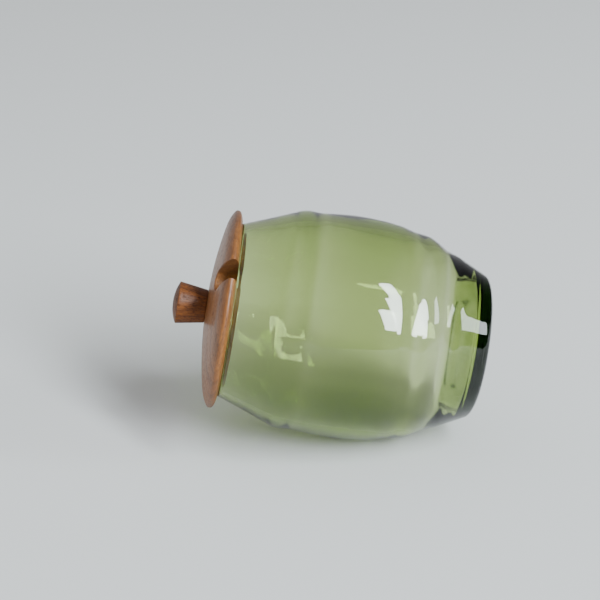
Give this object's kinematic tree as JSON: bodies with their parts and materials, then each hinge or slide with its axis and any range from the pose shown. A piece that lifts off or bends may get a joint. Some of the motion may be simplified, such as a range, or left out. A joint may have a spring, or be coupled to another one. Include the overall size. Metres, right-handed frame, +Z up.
{
  "type": "condiment jar",
  "caption": "Small barrel-shaped green glass jar with a turned teak lid that lifts off; the lid has a round knob and a notch in its rim for a spoon.",
  "frame": {"origin": "middle of the base, on the plane it stands on", "axes": "+Z up along the jar's axis, +Y towards the spoon notch in the lid"},
  "size_m": [0.073, 0.073, 0.1009],
  "materials": {
    "glass": "clear olive green moulded glass, polished, slightly wavy",
    "lid_teak": "oiled teak, satin, grain across the disc",
    "knob_teak": "oiled teak, satin, grain along the knob"
  },
  "bodies": {
    "jar": {"glass_jar": "glass"},
    "lid": {"lid": "lid_teak", "knob": "knob_teak"}
  },
  "joints": [
    {"name": "lid_lift", "type": "slide", "parent": "jar", "child": "lid", "axis": [0, 0, 1], "range_m": [0, 0.04]}
  ]
}
